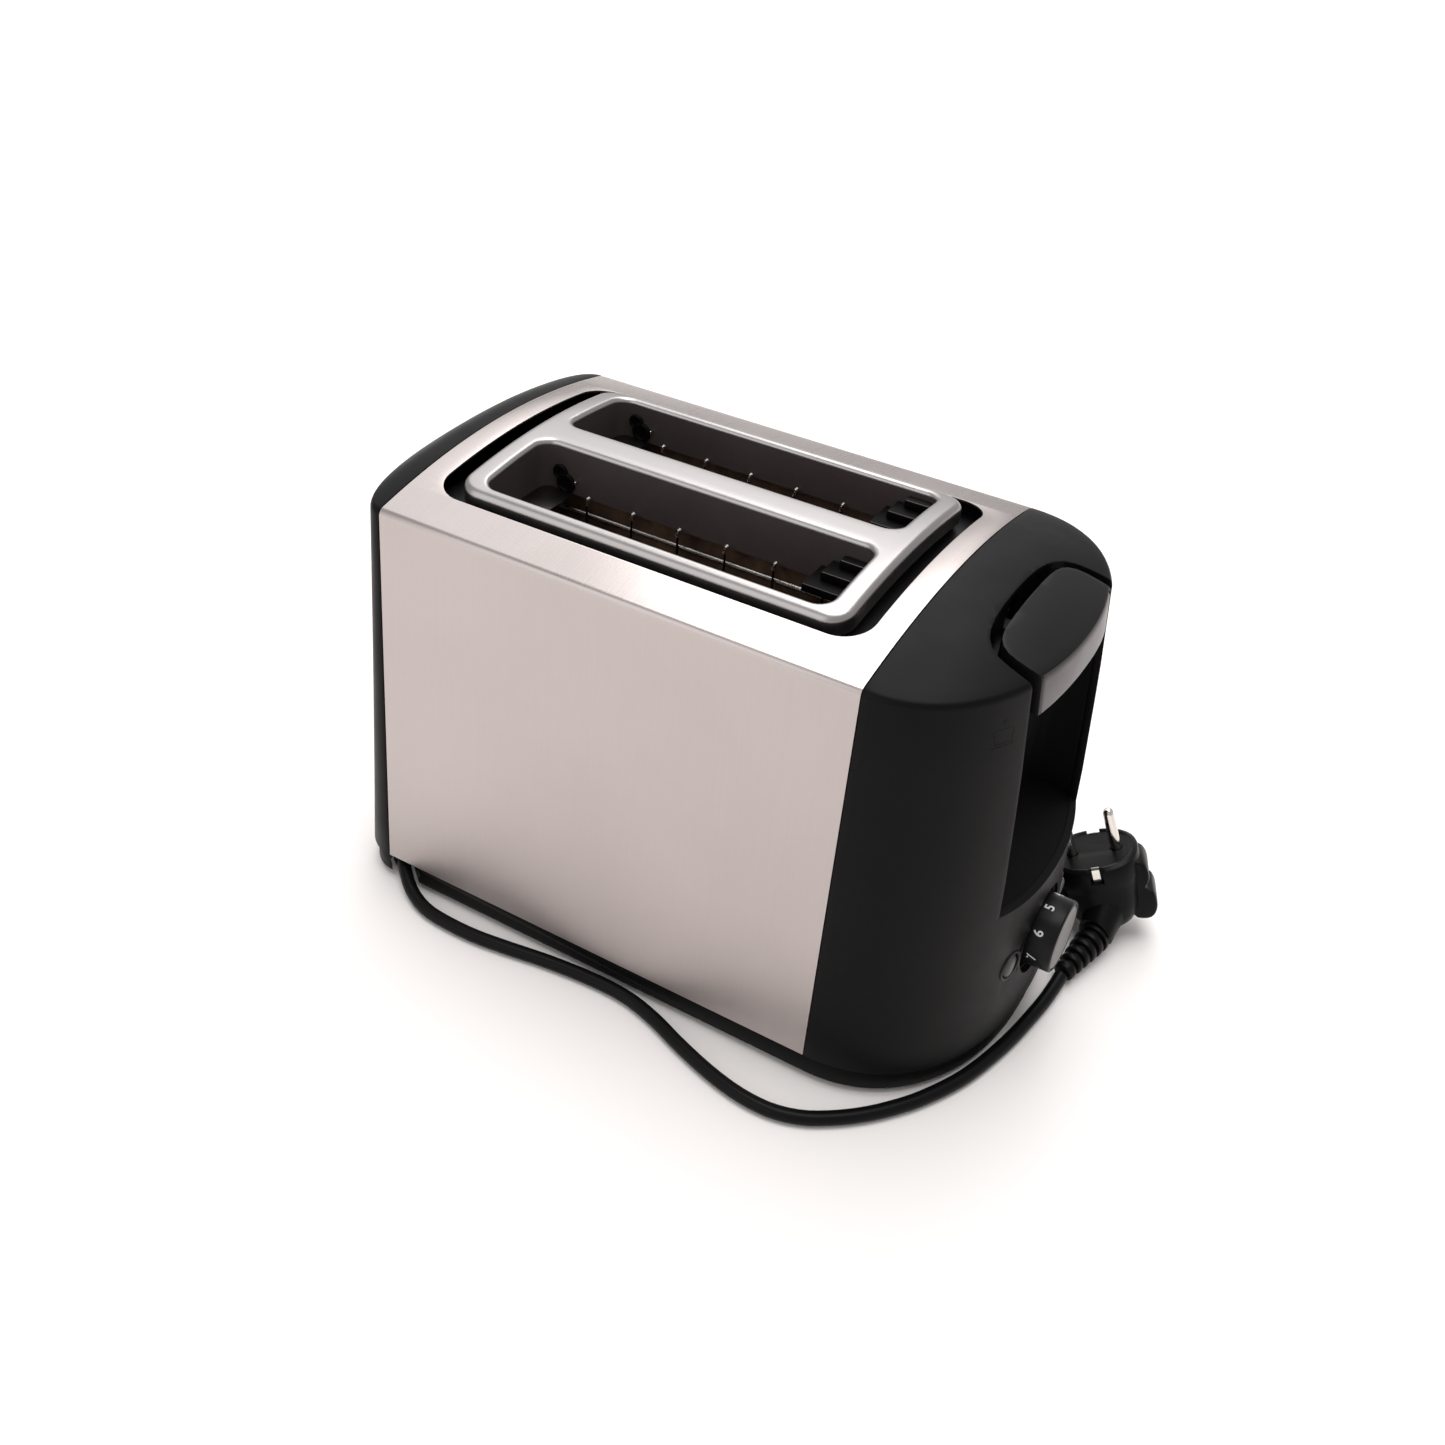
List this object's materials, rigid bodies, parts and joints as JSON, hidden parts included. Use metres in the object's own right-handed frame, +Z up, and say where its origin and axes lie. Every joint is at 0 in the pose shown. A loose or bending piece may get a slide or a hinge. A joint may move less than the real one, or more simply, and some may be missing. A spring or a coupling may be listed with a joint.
{
  "type": "pop up toaster",
  "caption": "Pop-up toaster with a steel sleeve, dark end caps, long bread slots, a lever in a recess, a browning dial, push buttons, a crumb tray and a mains lead with plug.",
  "frame": {"origin": "under the middle of the body, on the surface that the feet stand on", "axes": "+Z up, +X along the body towards the end with the lever and the dial, long sides facing -Y and +Y"},
  "size_m": [0.3222, 0.2062, 0.1971],
  "materials": {
    "brushed_steel": "vertical brushing",
    "bright_steel": "bright satin",
    "matte_black": "fine matte",
    "satin_black": "satin",
    "gunmetal": "satin gunmetal",
    "silver_plastic": "satin silver",
    "zinc_sheet": "zinc plated",
    "wire": "plated wire",
    "mica": "matte mica",
    "heater_ribbon": "oxidised",
    "board": "matte",
    "copper": "enamelled copper",
    "black_pvc": "soft gloss",
    "nickel": "bright",
    "rubber": "matte",
    "white_plastic": "matte"
  },
  "bodies": {
    "housing": {"outer_sleeve": "brushed_steel", "slot_frame": "bright_steel", "slot_deck": "matte_black", "slot_chute_front": "zinc_sheet", "slot_chute_back": "zinc_sheet", "lever_end_cap": "matte_black", "rear_end_cap": "matte_black", "base": "matte_black", "foot_1": "rubber", "foot_2": "rubber", "foot_3": "rubber", "foot_4": "rubber", "base_screw_1": "nickel", "base_screw_2": "nickel", "base_screw_3": "nickel", "base_screw_4": "nickel", "chassis_plate_lever": "zinc_sheet", "chassis_plate_rear": "zinc_sheet", "heat_shield_front": "zinc_sheet", "heat_shield_back": "zinc_sheet", "mica_board_front": "mica", "mica_board_middle": "mica", "mica_board_back": "mica", "heater_ribbon_front": "heater_ribbon", "heater_ribbon_middle_front": "heater_ribbon", "heater_ribbon_middle_back": "heater_ribbon", "heater_ribbon_back": "heater_ribbon", "carriage_bracket": "zinc_sheet", "guide_rod": "nickel", "magnet_core": "zinc_sheet", "magnet_coil": "copper", "potentiometer": "silver_plastic", "circuit_board": "board", "cord": "black_pvc", "cord_gland": "black_pvc", "plug_body": "black_pvc", "plug_pins": "nickel", "earth_contacts": "nickel", "plug_relief": "black_pvc", "terminal_block": "white_plastic", "inner_lead": "white_plastic"},
    "carriage": {"slider": "zinc_sheet", "lever_arm": "zinc_sheet", "lever_pad": "satin_black", "lever_trim": "gunmetal", "bread_rack_front": "zinc_sheet", "bread_rack_back": "zinc_sheet", "latch_keeper": "zinc_sheet", "return_spring": "nickel"},
    "guard_front_inner": {"bread_guard_front_inner": "wire"},
    "guard_front_outer": {"bread_guard_front_outer": "wire"},
    "guard_back_inner": {"bread_guard_back_inner": "wire"},
    "guard_back_outer": {"bread_guard_back_outer": "wire"},
    "dial": {"browning_knob": "satin_black", "dial_disc": "silver_plastic", "dial_shaft": "nickel"},
    "stop_button": {"stop_button": "silver_plastic"},
    "defrost_button": {"defrost_button": "silver_plastic"},
    "tray": {"crumb_tray": "zinc_sheet", "tray_grip": "matte_black"}
  },
  "joints": [
    {"name": "lever_slide", "type": "slide", "parent": "housing", "child": "carriage", "axis": [0, 0, 1], "range_m": [-0.073, 0.009], "stiffness_N_per_m": 120, "springref_m": 0.012, "deforming": ["return_spring"]},
    {"name": "guard_front_inner_hinge", "type": "hinge", "parent": "housing", "child": "guard_front_inner", "pos_m": [-0.0194, -0.0098, 0.174], "axis": [1, 0, 0], "range_deg": [-3.4, 0.6]},
    {"name": "guard_front_outer_hinge", "type": "hinge", "parent": "housing", "child": "guard_front_outer", "pos_m": [-0.0194, -0.0489, 0.174], "axis": [1, 0, 0], "range_deg": [-0.6, 3.4]},
    {"name": "guard_back_inner_hinge", "type": "hinge", "parent": "housing", "child": "guard_back_inner", "pos_m": [-0.0194, 0.0098, 0.174], "axis": [1, 0, 0], "range_deg": [-0.6, 3.4]},
    {"name": "guard_back_outer_hinge", "type": "hinge", "parent": "housing", "child": "guard_back_outer", "pos_m": [-0.0194, 0.0489, 0.174], "axis": [1, 0, 0], "range_deg": [-3.4, 0.6]},
    {"name": "dial_turn", "type": "hinge", "parent": "housing", "child": "dial", "pos_m": [0.1539, 0, 0.048], "axis": [1, 0, 0], "range_deg": [-100, 158]},
    {"name": "stop_press", "type": "slide", "parent": "housing", "child": "stop_button", "axis": [-1, 0, 0], "range_m": [0, 0.0015], "stiffness_N_per_m": 300, "springref_m": -0.001},
    {"name": "defrost_press", "type": "slide", "parent": "housing", "child": "defrost_button", "axis": [-1, 0, 0], "range_m": [0, 0.0015], "stiffness_N_per_m": 300, "springref_m": -0.001},
    {"name": "tray_slide", "type": "slide", "parent": "housing", "child": "tray", "axis": [-1, 0, 0], "range_m": [0, 0.19]}
  ],
  "couplings": [
    {"joint": "guard_front_inner_hinge", "follows": "lever_slide", "rad_per_m": 0.767},
    {"joint": "guard_front_outer_hinge", "follows": "lever_slide", "rad_per_m": -0.767},
    {"joint": "guard_back_inner_hinge", "follows": "lever_slide", "rad_per_m": -0.767},
    {"joint": "guard_back_outer_hinge", "follows": "lever_slide", "rad_per_m": 0.767}
  ]
}
